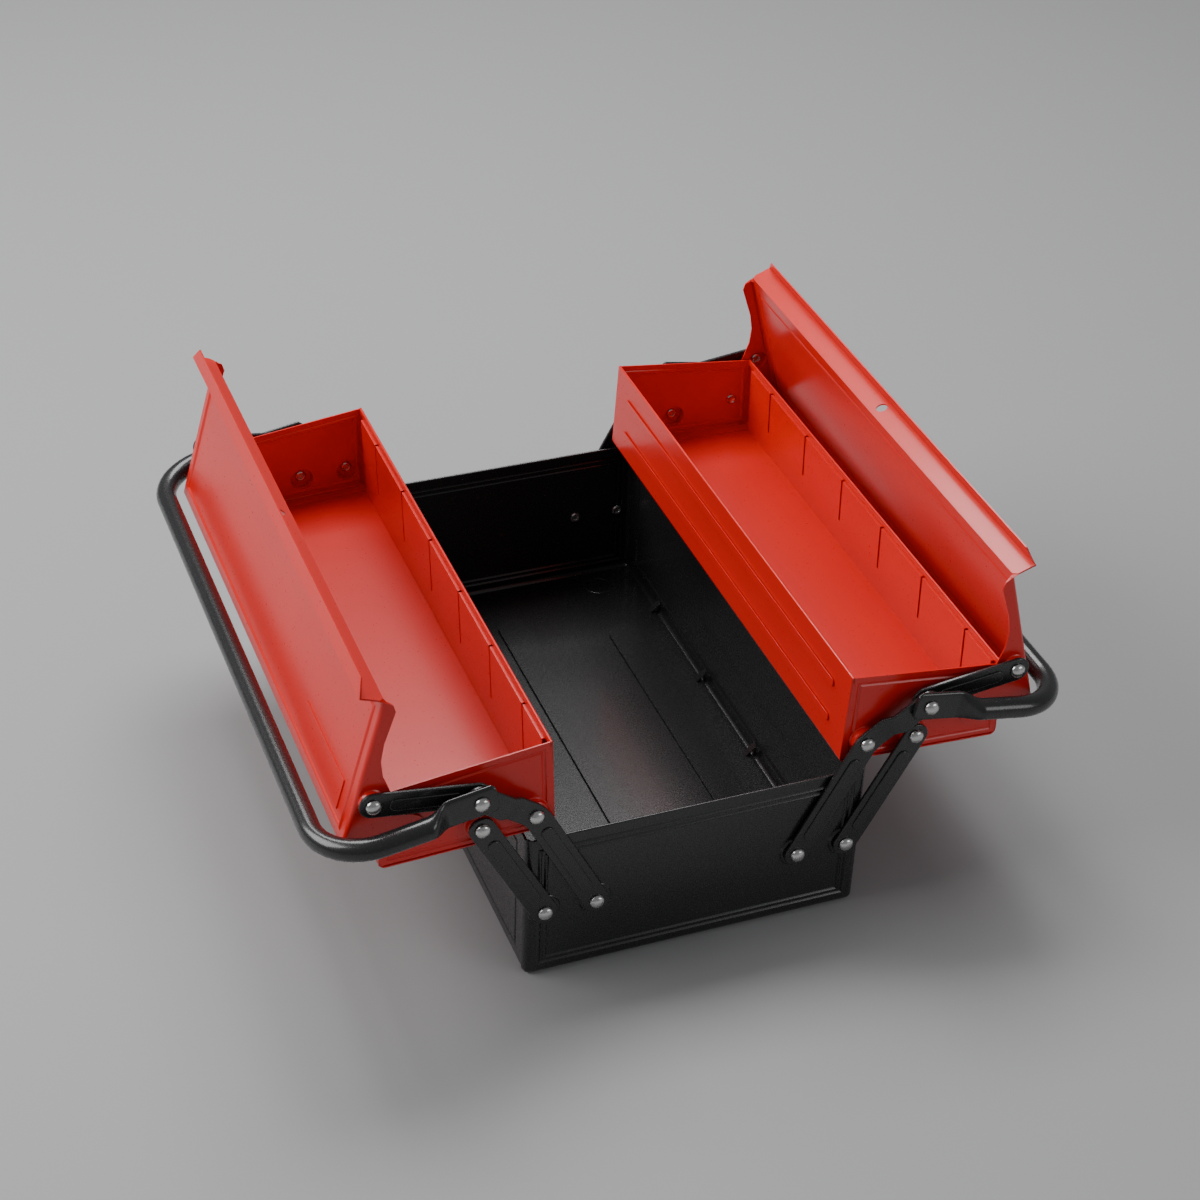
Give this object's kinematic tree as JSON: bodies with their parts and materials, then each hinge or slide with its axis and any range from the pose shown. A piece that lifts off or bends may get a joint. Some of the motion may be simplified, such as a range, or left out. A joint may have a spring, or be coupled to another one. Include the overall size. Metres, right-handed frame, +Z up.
{
  "type": "toolbox with tray",
  "caption": "Steel cantilever toolbox standing open: a black base, two red trays on swinging links, a red lid over each tray and a bent tube carrying handle on each side.",
  "frame": {"origin": "centre of the base's underside, where its feet stand", "axes": "+Z up; Y along the base's length, with the front end at -Y; +X towards the right-hand tray, seen from the front end"},
  "size_m": [0.4318, 0.3906, 0.2178],
  "materials": {
    "red_enamel": "semi-gloss red enamel",
    "black_enamel": "satin black enamel with a fine grain",
    "zinc_rivet": "bright zinc plate"
  },
  "bodies": {
    "base": {"base_body": "black_enamel", "base_end_front": "black_enamel", "base_end_rear": "black_enamel", "base_rivets": "zinc_rivet"},
    "right_inner_links": {"inner_link_right_front": "black_enamel", "inner_link_right_rear": "black_enamel", "handle_rivets_right": "zinc_rivet"},
    "right_outer_links": {"outer_link_right_front": "black_enamel", "outer_link_right_rear": "black_enamel"},
    "right_tray": {"tray_body_right": "red_enamel", "tray_end_right_front": "red_enamel", "tray_end_right_rear": "red_enamel", "divider_strip_inner_right": "red_enamel", "divider_strip_outer_right": "red_enamel", "tray_rivets_right": "zinc_rivet"},
    "right_lid": {"lid_right": "red_enamel", "lid_rivets_right": "zinc_rivet"},
    "right_lid_links": {"lid_link_right_front": "black_enamel", "lid_link_right_rear": "black_enamel"},
    "right_handle": {"handle_right": "black_enamel"},
    "left_inner_links": {"inner_link_left_front": "black_enamel", "inner_link_left_rear": "black_enamel", "handle_rivets_left": "zinc_rivet"},
    "left_outer_links": {"outer_link_left_front": "black_enamel", "outer_link_left_rear": "black_enamel"},
    "left_tray": {"tray_body_left": "red_enamel", "tray_end_left_front": "red_enamel", "tray_end_left_rear": "red_enamel", "divider_strip_inner_left": "red_enamel", "divider_strip_outer_left": "red_enamel", "tray_rivets_left": "zinc_rivet"},
    "left_lid": {"lid_left": "red_enamel", "lid_rivets_left": "zinc_rivet"},
    "left_lid_links": {"lid_link_left_front": "black_enamel", "lid_link_left_rear": "black_enamel"},
    "left_handle": {"handle_left": "black_enamel"}
  },
  "joints": [
    {"name": "right_fold", "type": "hinge", "parent": "base", "child": "right_inner_links", "pos_m": [0.0589, 0, 0.0466], "axis": [0, -1, 0], "range_deg": [0, 60]},
    {"name": "right_outer_link", "type": "hinge", "parent": "base", "child": "right_outer_links", "pos_m": [0.0882, 0, 0.0466], "axis": [0, -1, 0], "range_deg": [0, 60.36]},
    {"name": "right_tray_turn", "type": "hinge", "parent": "right_inner_links", "child": "right_tray", "pos_m": [0.09445, 0, 0.1149], "axis": [0, -1, 0], "range_deg": [-57.5, 0]},
    {"name": "right_lid_turn", "type": "hinge", "parent": "right_tray", "child": "right_lid", "pos_m": [0.16373, 0, 0.11958], "axis": [0, -1, 0], "range_deg": [0, 67.91]},
    {"name": "right_lid_link", "type": "hinge", "parent": "right_inner_links", "child": "right_lid_links", "pos_m": [0.12665, 0, 0.13761], "axis": [0, -1, 0], "range_deg": [-73.32, 0]},
    {"name": "right_handle_turn", "type": "hinge", "parent": "right_inner_links", "child": "right_handle", "pos_m": [0.12665, 0, 0.13761], "axis": [0, -1, 0], "range_deg": [0, 45]},
    {"name": "left_fold", "type": "hinge", "parent": "base", "child": "left_inner_links", "pos_m": [-0.0589, 0, 0.0466], "axis": [0, 1, 0], "range_deg": [0, 60]},
    {"name": "left_outer_link", "type": "hinge", "parent": "base", "child": "left_outer_links", "pos_m": [-0.0882, 0, 0.0466], "axis": [0, 1, 0], "range_deg": [0, 60.36]},
    {"name": "left_tray_turn", "type": "hinge", "parent": "left_inner_links", "child": "left_tray", "pos_m": [-0.09445, 0, 0.1149], "axis": [0, 1, 0], "range_deg": [-57.5, 0]},
    {"name": "left_lid_turn", "type": "hinge", "parent": "left_tray", "child": "left_lid", "pos_m": [-0.16373, 0, 0.11958], "axis": [0, 1, 0], "range_deg": [0, 67.91]},
    {"name": "left_lid_link", "type": "hinge", "parent": "left_inner_links", "child": "left_lid_links", "pos_m": [-0.12665, 0, 0.13761], "axis": [0, 1, 0], "range_deg": [-73.32, 0]},
    {"name": "left_handle_turn", "type": "hinge", "parent": "left_inner_links", "child": "left_handle", "pos_m": [-0.12665, 0, 0.13761], "axis": [0, 1, 0], "range_deg": [0, 45]}
  ],
  "couplings": [
    {"joint": "right_outer_link", "follows": "right_fold", "ratio": 1.006},
    {"joint": "right_tray_turn", "follows": "right_fold", "ratio": -0.95833},
    {"joint": "right_lid_turn", "follows": "right_fold", "ratio": 1.1317},
    {"joint": "right_lid_link", "follows": "right_fold", "ratio": -1.222},
    {"joint": "left_outer_link", "follows": "left_fold", "ratio": 1.006},
    {"joint": "left_tray_turn", "follows": "left_fold", "ratio": -0.95833},
    {"joint": "left_lid_turn", "follows": "left_fold", "ratio": 1.1317},
    {"joint": "left_lid_link", "follows": "left_fold", "ratio": -1.222}
  ]
}
